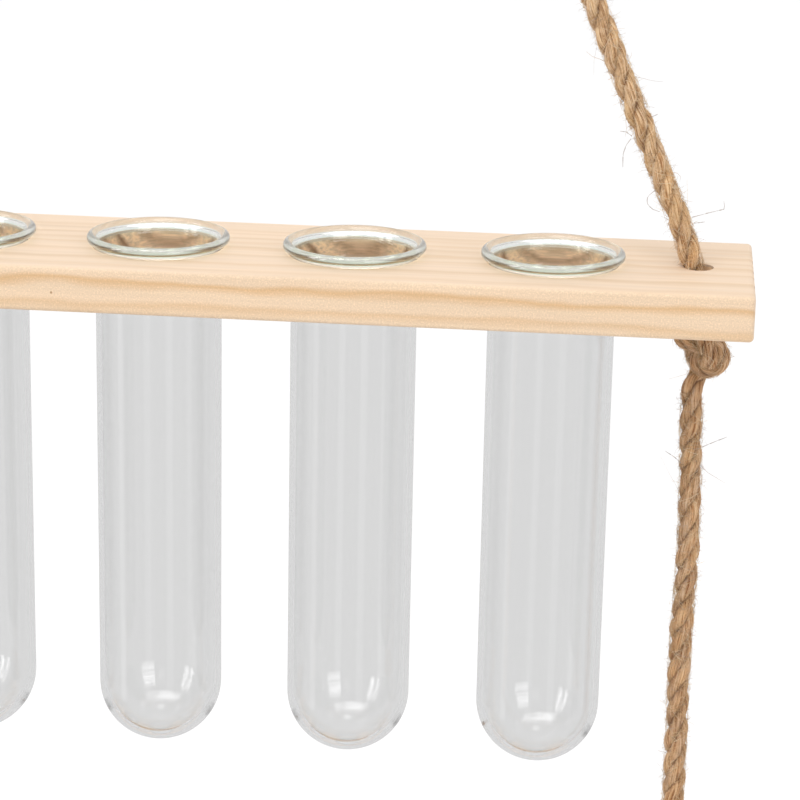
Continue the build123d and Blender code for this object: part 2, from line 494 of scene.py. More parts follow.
longStrays = {
    # fibres that stand well out, as (x, z) in mm just in front of the ropes' plane
    "upperRopeRight": (
        ((118.1, -340.0), (116.9, -341.8), (116.3, -343.9), (116.4, -347.2)),
        ((118.3, -339.3), (116.8, -338.3), (115.3, -338.2)),
        ((124.8, -352.6), (122.9, -354.2), (122.7, -356.0), (124.0, -357.5), (126.0, -358.1)),
        ((134.0, -359.1), (137.9, -357.9), (142.0, -356.7), (141.6, -354.7)),
        ((134.6, -360.6), (137.3, -360.2)),
        ((122.5, -334.6), (124.4, -333.6)),
    ),
    "lowerRopeRight": (
        ((139.5, -418.7), (142.4, -417.2), (145.6, -415.7)),
        ((134.4, -423.2), (132.3, -421.5), (130.2, -420.2)),
    ),
}


def between(values, spot):
    # values read between their rows, at fractional places
    low = np.clip(np.floor(spot).astype(int), 0, len(values) - 2)
    part = np.clip(spot - low, 0, 1)[..., None]
    return values[low] * (1 - part) + values[low + 1] * part


def fibreMesh(name, curves, thickness, tone, seed):
    # three-sided closed fibres that thin out towards the tip
    rng = np.random.default_rng(seed)
    number, count = curves.shape[:2]
    path = unit(np.gradient(curves, axis=1))
    side = unit(np.cross(path, unit(rng.normal(size=(number, 1, 3)))))
    over = np.cross(path, side)
    angle = np.arange(3) * 2 * np.pi / 3
    thin = thickness[:, None] * np.linspace(1.0, fuzzLook["tip"], count)[None]
    ring = np.cos(angle)[:, None] * side[:, :, None] + np.sin(angle)[:, None] * over[:, :, None]
    points = curves[:, :, None] + thin[..., None, None] * ring
    i, j = np.meshgrid(np.arange(count - 1), np.arange(3), indexing="ij")
    k = (j + 1) % 3
    quads = np.stack([i * 3 + j, i * 3 + k, i * 3 + 3 + k, i * 3 + 3 + j], -1).reshape(-1, 4)
    ends = np.array([[0, 2, 1], [count * 3 - 3, count * 3 - 2, count * 3 - 1]])
    shift = (np.arange(number) * count * 3)[:, None, None]
    attributes = {"tone": np.repeat(tone, count * 3)}
    quads, ends = quads[None] + shift, ends[None] + shift
    return putMesh(name, points.reshape(-1, 3) * mm, quads, ends, fibreMaterial, attributes)


def fuzzOf(name, line, frames, seed, settings, density=1.0, radius=2.8):
    # Fibres in the rope's own coordinates: along it, round it and out from it, each changing
    # evenly along the fibre, with a sway round the rope and a bend in a chance direction.
    along, side, across = frames
    rng = np.random.default_rng(seed)
    length = arcLength(line)[-1]
    step = length / (len(line) - 1)
    u = np.linspace(0, 1, settings["points"])[None]
    curves, thickness, tones = [], [], []
    for kind in settings["kinds"].values():
        number = max(int(length * kind["perMm"] * density), 1)
        shortest, longest = kind["length"]
        long = rng.uniform(0, 1, number) ** 1.5 * (longest - shortest) + shortest
        at = rng.uniform(0.5, length - 0.5, number)
        way = rng.choice([-1.0, 1.0], number)
        out = rng.uniform(*kind["rise"], number) * long
        run = np.sqrt(np.clip(1 - (out * radius / long) ** 2, 0.05, 1)) * long
        spot = np.clip(at[:, None] + (way * run)[:, None] * u, 0, length) / step
        angle = rng.uniform(0, 2 * np.pi, number)[:, None]
        angle = angle + (rng.normal(0, kind["swing"], number) * long)[:, None] * u
        angle = angle + rng.normal(0, kind["sway"], number)[:, None] * np.sin(np.pi * u)
        reach = radius * (rng.uniform(*kind["root"], number)[:, None] + out[:, None] * u ** 1.3)
        outward = np.cos(angle)[..., None] * between(side, spot)
        outward = outward + np.sin(angle)[..., None] * between(across, spot)
        bend = unit(rng.normal(size=(number, 3))) * (kind["wild"] * long)[:, None]
        curve = between(line, spot) + reach[..., None] * outward
        curves.append(curve + (u * u)[..., None] * bend[:, None])
        thickness.append(kind["thick"] * rng.uniform(0.6, 1.3, number))
        tones.append(rng.uniform(*kind["tone"], number))
    for stray in longStrays.get(name.removesuffix("Fuzz"), ()):
        # the few given points are read evenly along their own length
        bent = np.array([(x, settings["longForward"], z) for x, z in stray])
        fine = resampled(bent, settings["points"] * 3 - 2)
        for part in range(3):
            begin = part * (settings["points"] - 1)
            curves.append(fine[None, begin:begin + settings["points"]])
            thickness.append([settings["longThick"]])
            tones.append([0.0])
    curves, thickness, tones = (np.concatenate(values) for values in (curves, thickness, tones))
    return fibreMesh(name, curves, thickness, tones, seed + 5)


def routeLine(name, route):
    # the route's NURBS line, read back as points in mm
    curve = bpy.data.curves.new(name, "CURVE")
    curve.dimensions = "3D"
    curve.resolution_u = 64
    spline = curve.splines.new("NURBS")
    spline.points.add(len(route) - 1)
    spline.points.foreach_set("co", [v for point in route for v in (*point, 1.0)])
    spline.order_u = 3
    spline.use_endpoint_u = True
    holder = bpy.data.objects.new(name, curve)
    mesh = bpy.data.meshes.new_from_object(holder)
    line = np.empty(len(mesh.vertices) * 3, np.float32)
    mesh.vertices.foreach_get("co", line)
    bpy.data.meshes.remove(mesh)
    bpy.data.objects.remove(holder)
    bpy.data.curves.remove(curve)
    return line.reshape(-1, 3).astype(float) / mm


# Knots

tightening = {
    "points": 130,
    "rounds": 900,
    "straighten": 0.3,     # each round, the share of the way to the middle of its neighbours
    "undo": 0.5,           # the share of an overlap that is pushed apart
    "sameTurn": 1.55,      # points nearer than this along the line, in presses, don't push
    "slide": 0.05,         # mm, the most that the turns slide up or down
}
stopperKnot = {
    "loose": 5.0,          # mm, the size that the open knot starts from
    "press": 3.8,          # mm between the middles of touching turns
    "lead": 3.0,           # mm of rope that stays in the hole above the knot
    "underside": -2.25,    # mm, the highest that the middle of a turn lies below the bar
    "foot": -21.2,         # mm, where the rope below starts
    "overlap": 1.0,        # mm that the knot's end runs on inside the rope below
    "drawnLong": 1.34,     # how much the load stretches it
    "drawnThin": 0.92,
    "face": 312.0,         # degrees, which side of the knot faces forwards
    "radius": 2.35,        # mm, the rope pressed thin in the turns
    "swell": 7.0,          # mm over which it is round again above the foot
    "ropeBefore": 354.0,   # mm of rope above the knot
    "firstTurn": 0.4,      # radians, where the first strand starts
}
topKnot = {
    "loose": 7.0,
    "press": 6.2,
    "half": 17.0,          # mm from the middle of the knot to each end of the line
    "middle": -47.5,       # mm, its height
    "trim": 4.8,           # mm cut from each end once it is tight
    "face": 20.0,
    "radius": 2.6,
    "apart": 1.95,         # mm from the middle of the pair to each rope, in the knot
    "apartAtEnds": 3.2,
}
lineStep = 0.5             # mm between the points of a tightened line


def looseKnot(size):
    # an open overhand knot: along the rope 3t - t^3, sideways 4t^2 - t^4 and t^5/5 - 2t
    t = np.linspace(-2.05, 2.05, 150)
    return size * np.stack([4 * t**2 - t**4 - 1.5, 0.2 * t**5 - 2 * t, 3 * t - t**3], 1)


def tighten(path, press, top, bottom, ceiling=None):
    # The line is drawn short and pushed apart wherever two turns are nearer than the rope allows,
    # over and over, with both ends held upright on the axis.
    count = tightening["points"]
    lead = np.linspace(0, 1, 12)[:, None]
    path = path[::-1] if path[0, 2] < path[-1, 2] else path
    topPoint, bottomPoint = np.array([0, 0, top]), np.array([0, 0, bottom])
    leadIn = topPoint + (path[0] - topPoint) * lead
    leadOut = path[-1] + (bottomPoint - path[-1]) * lead
    path = np.concatenate([leadIn, path, leadOut])
    spot = np.arange(count)
    for number in range(tightening["rounds"]):
        step = arcLength(path)[-1] / (count - 1)
        path = resampled(path, count)
        path[1:-1] += tightening["straighten"] * (0.5 * (path[:-2] + path[2:]) - path[1:-1])
        gap = path[:, None] - path[None]
        distance = np.linalg.norm(gap, axis=2)
        away = np.abs(spot[:, None] - spot[None]) * step > tightening["sameTurn"] * press
        overlap = np.where(away, np.clip(press - distance, 0, None), 0)
        push = (gap / np.maximum(distance, 1e-9)[..., None] * overlap[..., None]).sum(1)
        path += tightening["undo"] * push / np.maximum((overlap > 0).sum(1), 1)[:, None]
        if ceiling is not None:
            # the turns slide along the rope until they rest on the bar, and none goes into it
            turns = slice(count // 6, -count // 6)
            slide = tightening["slide"]
            path[3:-3, 2] += np.clip(ceiling - path[turns, 2].max(), -slide, slide)
            free = np.hypot(path[:, 0], path[:, 1]) > 1.0
            path[:, 2] = np.where(free, np.minimum(path[:, 2], ceiling), path[:, 2])
        held = np.arange(3)[:, None] * np.array([0, 0, step])
        path[:3] = topPoint - held
        path[-3:] = bottomPoint + held[::-1]
    return path


def softened(line):
    # each point moves to the middle of itself and its neighbours, four times
    for number in range(4):
        inner = 0.25 * line[:-2] + 0.5 * line[1:-1] + 0.25 * line[2:]
        line = np.concatenate([line[:1], inner, line[-1:]])
    return line


def turnedUp(path, degrees):
    # the path turned about the upright axis
    angle = math.radians(degrees)
    c, s = math.cos(angle), math.sin(angle)
    return np.stack([c * path[:, 0] - s * path[:, 1], s * path[:, 0] + c * path[:, 1], path[:, 2]], 1)


def tieStopper(settings):
    # tied short, then drawn long and thin below the bar as the load draws it
    high = settings["underside"]
    foot = high + (settings["foot"] - high) / settings["drawnLong"]
    openKnot = looseKnot(settings["loose"]) + (0, 0, -12.0)
    tight = tighten(openKnot, settings["press"], settings["lead"], foot, high)
    tight[:, :2] *= settings["drawnThin"]
    below = np.minimum(tight[:, 2] - high, 0)
    tight[:, 2] += below * (settings["drawnLong"] - 1)
    end = np.array([[0, 0, settings["foot"] - settings["overlap"]]])
    tight = np.concatenate([turnedUp(tight, settings["face"]), end])
    return softened(evenly(tight, lineStep))


def tieTop(settings):
    # tied on the axis, then cut back at both ends
    half = settings["half"]
    tight = tighten(looseKnot(settings["loose"]), settings["press"], half, -half)
    cut = int(settings["trim"] / lineStep)
    return softened(evenly(turnedUp(tight, settings["face"]), lineStep))[cut:-cut]


stopperLine = tieStopper(stopperKnot)
topLine = tieTop(topKnot)
print("knots tied, mm of rope:", *(round(arcLength(line)[-1], 1) for line in (stopperLine, topLine)))


# Rope routes in metres, for the right side; the left side mirrors them

sides = {"Left": -1, "Right": 1}
ropeX = 136.3       # mm
knotHeights = {"upper": -383.5, "lower": -583.5}      # mm, the bars' undersides
upperRoute = [
    (0.0032, 0, -0.057),
    (0.0032, 0, -0.065),
    (0.0064, 0, -0.0723),      # as far past the corner as the lead is long
    (0.1223, 0, -0.3407),      # six diameters before the edge of the bar's hole
    (0.1360, 0, -0.3715),
    (0.1363, 0, -0.3835),
]
lowerRoute = [
    (0.1363, 0, -0.4047),
    (0.1363, 0, -0.4125),
    (0.1375, 0, -0.4430),      # the photo's slight bow to the right
    (0.1364, 0, -0.4760),
    (0.1368, 0, -0.5000),
    (0.1363, 0, -0.5720),
    (0.1363, 0, -0.5835),
]
tailRoute = [
    (0.1363, 0, -0.6047),
    (0.1363, 0, -0.6190),
    (0.1395, 0, -0.6400),
]
loopRoute = [
    (-0.0032, 0, -0.038),
    (-0.0032, 0, -0.031),
    (-0.008, 0, -0.018),
    (-0.008, 0, -0.0007),
    (0, 0, 0.00391),
    (0.008, 0, -0.0007),
    (0.008, 0, -0.018),
    (0.0032, 0, -0.031),
    (0.0032, 0, -0.038),
]


def mirrored(route, side):
    # the route with x times side
    return [(side * x, y, z) for x, y, z in route]


def placeJute(piece, fuzzes, body, nodes):
    # the rope's mesh stands for its nodes, and its fuzz rides along
    for item in (piece, *fuzzes):
        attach(item, body)
    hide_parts(*nodes)


def dressRope(name, route, body, nodes, seed, start=(0.0, 0.0),
              withPieces=(), spreadOf=None, density=1.0):
    # One stretch of rope and its fuzz. start is the first strand's turn and the length of rope
    # before this stretch; the first ring is a little thin, to sink into a knot.
    line = evenly(routeLine(name, route), ropeLook["step"])
    frames = quietFrames(line)
    s = arcLength(line)
    radius = ropeLook["radius"] * (1 - ropeLook["sunk"] * np.clip(1 - s / ropeLook["step"], 0, 1))
    if spreadOf:
        radius = radius * spreadOf(s)
    strands = strandSurfaces(line, frames, start[0], seed, ropeLook, radius, start[1])
    piece = ropeMesh(name, [strands], ropeLook)
    fuzz = fuzzOf(name + "Fuzz", line, frames, seed + 11, fuzzLook, density)
    placeJute(piece, [fuzz], body, nodes)


def dressStopper(name, x, z, body, nodes, seed):
    # The tightened line moved under a bar, with the three strands wound on it. The rope is thin in
    # the turns and swells to its full radius at the foot, where its last millimetre sinks into the
    # rope below. Returns the pieces and where the rope below takes over.
    line = stopperLine + (x, 0, z)
    frames = quietFrames(line)
    s = arcLength(line)
    thin, overlap, before = (stopperKnot[k] for k in ("radius", "overlap", "ropeBefore"))
    toFoot = s[-1] - overlap - s
    swell = 0.5 + 0.5 * np.cos(np.pi * np.clip(toFoot / stopperKnot["swell"], 0, 1))
    radius = thin + (ropeLook["radius"] - thin) * swell
    radius = radius * (1 - 0.1 * np.clip(-toFoot / overlap - 0.2, 0, 1))
    strands = strandSurfaces(line, frames, stopperKnot["firstTurn"], seed, ropeLook, radius, before)
    piece = ropeMesh(name, [strands], ropeLook)
    fuzz = fuzzOf(name + "Fuzz", line, frames, seed + 11, fuzzLook, 0.8, thin)
    placeJute(piece, [fuzz], body, nodes)
    last = int(np.abs(toFoot).argmin())
    outward = strands[0][0, last] - line[last]
    # the next stretch's side direction is +X and its line runs down, so its turn counts the other way
    return [piece, fuzz], (-math.atan2(outward[1], outward[0]), before + s[last])


def frayed(s):
    # the last 5 mm of a cut end open up
    return 1 + 0.22 * np.clip((s - s[-1] + 5.0) / 5.0, 0, 1) ** 2


for sideName, side in sides.items():
    small = sideName.lower()
    seed = 100 if side > 0 else 200
    upperKnot, upperFoot = dressStopper(
        "stopperKnotUpper" + sideName, side * ropeX, knotHeights["upper"],
        "upper_rack", ["knot_upper_" + small], seed,
    )
    lowerKnot, lowerFoot = dressStopper(
        "stopperKnotLower" + sideName, side * ropeX, knotHeights["lower"],
        "lower_tier", ["knot_lower_" + small], seed + 20,
    )
    dressRope(
        "upperRope" + sideName, mirrored(upperRoute, side),
        "upper_rack", ["rope_upper_" + small], seed + 40,
        withPieces=upperKnot,
    )
    dressRope(
        "lowerRope" + sideName, mirrored(lowerRoute, side),
        "lower_tier", ["rope_lower_" + small], seed + 60,
        upperFoot, withPieces=lowerKnot,
    )
    dressRope(
        "tailRope" + sideName, mirrored(tailRoute, side),
        "lower_tier", ["rope_tail_" + small], seed + 80,
        lowerFoot, spreadOf=frayed, density=1.5,
    )


def dressTopKnot(name, settings):
    # the rope lies double along the tightened line, one rope each side of it
    line = topLine + (0, 0, settings["middle"])
    along, side, across = quietFrames(line)
    s = arcLength(line) / arcLength(line)[-1]
    leftOver = math.atan2(across[-1][0], side[-1][0])
    spin = s * leftOver
    side, across = (
        side * np.cos(spin)[:, None] + across * np.sin(spin)[:, None],
        across * np.cos(spin)[:, None] - side * np.sin(spin)[:, None],
    )
    ends = np.clip(np.abs(2 * s - 1) * 4 - 3, 0, 1)
    apart = settings["apart"] + (settings["apartAtEnds"] - settings["apart"]) * ends
    parts, fuzzes = [], []
    for number, way in enumerate((-1, 1)):
        rope = line + way * apart[:, None] * side
        frames = quietFrames(rope)
        seed = 320 + number
        parts.append(strandSurfaces(rope, frames, number, seed, ropeLook, settings["radius"]))
        fuzzes.append(fuzzOf(f"{name}Fuzz{number + 1}", rope, frames, seed + 20, fuzzLook, 0.7))
    piece = ropeMesh(name, parts, ropeLook)
    placeJute(piece, fuzzes, "upper_rack", ["apex_knot"])
    return [piece, *fuzzes]


dressRope(
    "hangingLoop", loopRoute, "upper_rack", ["hanging_loop"], 300,
    withPieces=dressTopKnot("topKnot", topKnot),
)
print("rope dressed")


# Glass tubes

tubeLook = {
    "radius": 16.0,
    "bore": 14.7,
    "rimTop": 3.0,          # mm above the bar
    "length": 137.6,
    "floor": 2.0,
    "bead": (16.9, 1.8, 1.2),        # middle of the rolled bead out and up, and its radius
    "flare": (18.29, -1.4, 2.29),    # the arc under the bead
    "mouth": (21.52, -1.4, 6.82),    # the wider arc inside
    "sides": 120,
    "tint": (0.68, 0.68, 0.68, 1.0),          # painted shade: what the outer face lets through, in and out
    "paler": (0.6936, 0.6936, 0.6936, 1.0),   # the same in the light parts of its cloud
    "tintFrom": (-9.5, -12.0),              # mm from the bar's top: no tint above, all of it below
    "frontBead": (0.79, 0.85, 0.73, 1.0),   # rim tints, front apart from back: green glass and painted reflection
    "frontBelow": (1.0, 0.88, 0.77, 1.0),   # the flare under the bead: painted reflection of the wood
    # at the back, painted reflection: faint pink of the wood in the bead, grey-green of a darker room
    # under it
    "backBead": (1.0, 0.97, 0.96, 1.0),
    "backBelow": (0.76, 0.80, 0.77, 1.0),
    "rimFrom": (-1.6, 3.0),                 # mm, the heights where the rim value is 0 and 1
    "inRim": (0.0, 0.35),                   # the rim values over which each change takes place
    "frontUp": (0.45, 0.53),
    "backUp": (0.68, 0.86),
    "toBack": (-0.012, 0.004),              # m, from front to back
    "rimRoughness": 0.13,
    "wallRoughness": 0.005,
    "cloud": (25.0, 25.0, 5.0),             # noise waves per m
    "haze": (40.0, 40.0, 12.0),
    "drawnLines": (160.0, 160.0, 3.0),
    "relief": (0.05, 0.0002),
    "sockets": {"Transmission Weight": 1.0, "IOR": 1.47},
}
tubePlaces = (-100, -50, 0, 50, 100)
barTops = {"upper": -372, "lower": -572}


def arc(centre, radius, start, end, count):
    # points on a circle from one angle to another, in degrees
    angle = np.radians(np.linspace(start, end, count))
    return np.stack([centre[0] + radius * np.cos(angle), centre[1] + radius * np.sin(angle)], 1)


def tubeProfile(settings):
    # From the bore's round floor up the inside, out over the mouth, round the bead, in under the
    # flare, down the outside and round the bottom, as (distance from the axis, height) in mm.
    outer, bore = settings["radius"], settings["bore"]
    foot = settings["rimTop"] - settings["length"]
    innerBall, outerBall = foot + settings["floor"] + bore, foot + outer
    beadX, beadZ, beadR = settings["bead"]
    mouthX, mouthZ, mouthR = settings["mouth"]
    flareX, flareZ, flareR = settings["flare"]
    mouthTurn = math.degrees(math.atan2(beadZ - mouthZ, beadX - mouthX))
    flareTurn = math.degrees(math.atan2(beadZ - flareZ, beadX - flareX))
    wall = np.linspace(0, 1, 24)[1:-1, None]
    inside = np.array([bore, innerBall]) + wall * (0, mouthZ - innerBall)
    outside = np.array([outer, flareZ]) + wall * (0, outerBall - flareZ)
    return np.concatenate([
        arc((0, innerBall), bore, -90, 0, 28),
        inside,
        arc((mouthX, mouthZ), mouthR, 180, mouthTurn, 9)[:-1],
        arc((beadX, beadZ), beadR, mouthTurn, flareTurn - 180, 22),
        arc((flareX, flareZ), flareR, flareTurn, 180, 8)[1:],
        outside,
        arc((0, outerBall), outer, 0, -90, 28),
    ])


def wallOf(profile, settings):
    # 1 on the outer face below the bar and 0 in the bore; and from 0 under the rim to 1 on its bead
    outer = np.arange(len(profile)) > profile[:, 1].argmax()
    high, low = settings["tintFrom"]
    rimLow, rimHigh = settings["rimFrom"]
    rim = np.clip((profile[:, 1] - rimLow) / (rimHigh - rimLow), 0, 1)
    return outer * np.clip((high - profile[:, 1]) / (high - low), 0, 1), rim


def latheTube(name, profile, x, z, material, settings):
    # the profile turned about the tube's axis; its first and last points are the poles
    around = np.linspace(0, 2 * np.pi, settings["sides"], endpoint=False)
    body = profile[1:-1]
    ring = np.stack([
        body[:, :1] * np.cos(around) + x,
        body[:, :1] * np.sin(around),
        np.broadcast_to(body[:, 1:] + z, (len(body), settings["sides"])),
    ], -1)
    poles = np.array([[x, 0, profile[0, 1] + z], [x, 0, profile[-1, 1] + z]])
    quads, fans = tubeFaces(len(body), settings["sides"])
    points = np.concatenate([ring.reshape(-1, 3), poles]) * mm
    attributes = {}
    for key, values in zip(("outerFace", "rim"), wallOf(profile, settings)):
        attributes[key] = np.concatenate([np.repeat(values[1:-1], settings["sides"]), values[[0, -1]]])
    return putMesh(name, points, quads[:, ::-1], fans[:, ::-1], material, attributes)


def makeGlass(name, settings):
    # clear glass with drawing lines, its outer skin grey as painted shade, its rim greener with painted
    # reflection
    material, tree, shader = newMaterial(name)
    coords = onPiece(tree)
    cloud = grain(tree, coords, settings["cloud"], 1.0)
    # painted shade: the outer skin is grey below the bar, for a darker backdrop seen through the glass
    grey = mixColour(tree, cloud, settings["tint"], settings["paler"])
    skin = mixColour(tree, attribute(tree, "outerFace"), (1.0, 1.0, 1.0, 1.0), grey)
    rim = attribute(tree, "rim")
    inRim, frontUp, backUp = (spread(tree, rim, *settings[k]) for k in ("inRim", "frontUp", "backUp"))
    # painted reflection: the rim's front and back take their own tints
    toBack = spread(tree, split(tree, coords)[1], *settings["toBack"])
    front = mixColour(tree, frontUp, settings["frontBelow"], settings["frontBead"])
    back = mixColour(tree, backUp, settings["backBelow"], settings["backBead"])
    rimTone = mixColour(tree, toBack, front, back)
    feed(tree, shader.inputs["Base Color"], mixColour(tree, inRim, skin, rimTone))
    wallRough = swing(tree, grain(tree, coords, settings["haze"]), 0.0, settings["wallRoughness"])
    rimRough = sums(tree, "MULTIPLY", inRim, settings["rimRoughness"])
    feed(tree, shader.inputs["Roughness"], sums(tree, "MAXIMUM", wallRough, rimRough))
    setSockets(shader, settings["sockets"])
    roughen(tree, shader, grain(tree, coords, settings["drawnLines"], 1.0), *settings["relief"])
    return material


glass = makeGlass("tubeGlass", tubeLook)
profile = tubeProfile(tubeLook)
for tier, top in barTops.items():
    for number, x in enumerate(tubePlaces, 1):
        tube = latheTube(f"glassTube{tier.capitalize()}{number}", profile, x, top, glass, tubeLook)
        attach(tube, f"tube_{tier}_{number}")
        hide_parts(f"test_tube_{tier}_{number}")
print("tubes turned:", len(profile), "profile points")


# Pine bars

pineLook = {
    "pith": (45.0, 35.0),        # mm in front of the bar's middle plane, and below its top
    "rings": (30.9, 35.8, 41.0, 45.5, 51.9, 56.8, 60.8, 64.7, 69.2, 71.9),   # mm from the pith
    "strengths": (0.55, 0.95, 0.55, 0.85, 0.65, 0.85, 0.65, 0.8, 0.55, 0.6),
    "ringRange": (26.0, 84.0),
    "fadeIn": 1.9,               # mm over which the late wood darkens
    "fadeOut": 1.1,
    "pale": "E2CBB3",            # the top and underside
    "late": "D8BC9C",
    "facePale": "DFC5A8",        # the front and back, a little darker and warmer
    "faceLate": "D2AC80",
    "faceFrom": (26.5, 27.35),   # mm from the middle plane, where the face starts and is full
    "cut": "FFDDB4",             # a hole's wall: cut wood, paler than the top as painted light in the hole
    "cutLate": "7E4418",
    "cutFrom": -0.6,             # mm above the top
    "speck": (-21.8, -6.5, 0.40),   # a speck of resin on the front: mm along, mm above the top, radius
    "speckTone": "A07850",
    "tubeHole": 17.05,
    "tubePitch": 50.0,
    "ropeHole": 3.95,
    "grains": {
        # noise waves per mm along and across the bar, detail, roughness
        "wave": (0.011, 0.05, 2.0, 0.5),
        "wobble": (0.045, 0.16, 2.0, 0.5),
        "fibre": (0.02, 1.3, 3.0, 0.6),
        "streak": (0.012, 0.6, 2.0, 0.6),
        "dots": (2.4, 2.4, 2.0, 0.7),
        "broad": (0.008, 0.09, 2.0, 0.5),
    },
    "waviness": 5.0,             # mm that the rings wander
    "wobbling": 2.6,
    # how much lighter or darker each noise makes the wood
    "fibreTone": (0.975, 1.02),
    "broadTone": (-0.02, 0.02),
    "streakTone": (-0.035, 0.035),
    "dotTone": (-0.09, 0.09),
    "poreTone": (0.55, 0.68, 0.0, 0.09),
    "holeTone": (0.72, 1.2),
    "gloss": (0.5, 0.66),
    "sockets": {"Specular IOR Level": 0.3},
    "relief": (0.35, 0.00015),
}


def makePine(name, top, settings, flip=1.0, shift=(0.0, 0.0, 0.0)):
    # Growth rings are cylinders about a pith line along X. The distance from that line, with a
    # slow waviness, goes through a ramp that darkens towards each ring and fades after it.
    material, tree, shader = newMaterial(name)
    place = stretched(tree, onPiece(tree), (1 / mm, flip / mm, 1 / mm), (shift[0], 0.0, -top))
    x, y, z = split(tree, place)
    wave, wobble, fibre, streak, dots, broad = grains(tree, place, settings["grains"], shift)
    forward, below = settings["pith"]
    away = fromAxis(tree, sums(tree, "ADD", y, forward), sums(tree, "ADD", z, below))
    for noise, amount in ((wave, settings["waviness"]), (wobble, settings["wobbling"])):
        away = sums(tree, "MULTIPLY_ADD", sums(tree, "SUBTRACT", noise, 0.5), amount, away)
    low, high = settings["ringRange"]
    stops = []
    for radius, strength in zip(settings["rings"], settings["strengths"]):
        ring = ((-settings["fadeIn"], 0.0), (0.0, strength), (settings["fadeOut"], 0.0))
        stops += [((radius + distance - low) / (high - low), level) for distance, level in ring]
    late = ramp(tree, spread(tree, away, low, high), stops)
    face = spread(tree, sums(tree, "ABSOLUTE", y), *settings["faceFrom"])
    grey = swing(tree, fibre, *settings["fibreTone"])
    grey = sums(tree, "ADD", grey, swing(tree, broad, *settings["broadTone"]))
    grey = sums(tree, "ADD", grey, swing(tree, streak, *settings["streakTone"]))
    pores = spread(tree, dots, *settings["poreTone"])
    rough = sums(tree, "ADD", swing(tree, dots, *settings["dotTone"]), pores)
    grey = sums(tree, "MULTIPLY_ADD", face, rough, grey)
    pale = mixColour(tree, face, linear(settings["pale"]), linear(settings["facePale"]))
    dark = mixColour(tree, face, linear(settings["late"]), linear(settings["faceLate"]))
    body = mixColour(tree, late, pale, dark)
    along, above, size = settings["speck"]
    fromSpeck = fromAxis(tree, sums(tree, "SUBTRACT", x, along), sums(tree, "SUBTRACT", z, above))
    speck = sums(tree, "MULTIPLY", face, spread(tree, fromSpeck, size / 2, size, 0.8, 0.0))
    body = mixColour(tree, speck, body, linear(settings["speckTone"]))
    body = mixColour(tree, 1.0, body, grey, "MULTIPLY")
    # hole walls, where the distance from the nearest hole's axis is under its radius, get the cut
    # colour with its painted light
    pitch = settings["tubePitch"]
    fromTube = sums(tree, "PINGPONG", sums(tree, "ADD", x, 10 * pitch - shift[0]), pitch / 2)
    inHole = sums(tree, "LESS_THAN", fromAxis(tree, fromTube, y), settings["tubeHole"])
    fromMiddle = sums(tree, "ABSOLUTE", sums(tree, "SUBTRACT", x, shift[0]))
    fromRope = sums(tree, "SUBTRACT", fromMiddle, ropeX)
    inRopeHole = sums(tree, "LESS_THAN", fromAxis(tree, fromRope, y), settings["ropeHole"])
    inHole = sums(tree, "MAXIMUM", inHole, inRopeHole)
    deep = sums(tree, "MULTIPLY", inHole, sums(tree, "LESS_THAN", z, settings["cutFrom"]))
    cutTone = mixColour(tree, late, linear(settings["cut"]), linear(settings["cutLate"]))
    fibreLight = swing(tree, fibre, *settings["holeTone"])
    cutTone = mixColour(tree, 1.0, cutTone, fibreLight, "MULTIPLY")
    feed(tree, shader.inputs["Base Color"], mixColour(tree, deep, body, cutTone))
    feed(tree, shader.inputs["Roughness"], swing(tree, fibre, *settings["gloss"]))
    setSockets(shader, settings["sockets"])
    faceDots = sums(tree, "MULTIPLY", face, dots)
    height = sums(tree, "MULTIPLY_ADD", faceDots, 1.2, sums(tree, "MULTIPLY", fibre, 0.6))
    roughen(tree, shader, height, *settings["relief"])
    return material


def dressBar(node, material):
    # the solid is shown as it is, in wood
    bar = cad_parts[node]
    if not bar.material_slots:
        bar.data.materials.append(material)
    for slot in bar.material_slots:
        slot.material = material


dressBar("upper_bar", makePine("pineUpper", barTops["upper"], pineLook))
dressBar("lower_bar", makePine("pineLower", barTops["lower"], pineLook, -1.0, (37.0, 5.0, 9.0)))
print("bars dressed")


# Floor, world and lights

stageLook = {
    "floorHeight": -0.78,
    "floorHalf": 12.0,
    "floorColour": (0.97, 0.97, 0.97, 1.0),
    "floorDarker": (0.9603, 0.9603, 0.9603, 1.0),
    "floorSockets": {
        "Roughness": 0.9,
        "Specular IOR Level": 0.0,
        "Emission Color": (1.0, 1.0, 1.0, 1.0),
        "Emission Strength": 0.04,
    },
    "world": {"Color": (1.0, 1.0, 1.0, 1.0), "Strength": 1.0},
}
lamps = {
    # name: place, where it points, width, height, power
    "umbrella": ((-0.08, -0.36, 0.295), (0.03, 0.0, -0.45), 0.62, 0.38, 2.42),
}
panels = {
    # windows that only the glass shows: bearing from the tubes in degrees, 0 towards the camera
    # and positive to the right, then width in degrees, lowest and highest direction, brightness.
    # The low ones are seen in the tubes' walls, the high ones in their rims and round bottoms.
    "wallFarLeft": (-65.0, 12.0, -28.0, -12.5, 0.95),
    "wallLeft": (-13.0, 11.4, -28.0, -12.5, 0.55),
    "wallRight": (28.0, 12.4, -28.0, -12.5, 0.58),
    "wallFarRight": (66.0, 8.3, -28.0, -12.5, 0.43),
    "paneRightLow": (37.5, 28.0, -12.0, 5.5, 4.2),
    "paneRightHigh": (37.5, 28.0, 11.0, 34.0, 5.2),
    "paneLeftNear": (-46.0, 9.0, -8.0, 34.0, 6.5),
    "paneLeftFar": (-64.0, 14.0, -8.0, 34.0, 7.5),
    "paneMiddle": (8.0, 14.0, 4.0, 26.0, 1.2),
}
skylight = {
    # a flat oval glow above, seen through the glass of the round bottoms
    "place": (-0.10, -0.22, 0.28),      # m
    "halfWidth": 0.66,
    "halfDepth": 0.34,
    "brightness": 5.0,
}
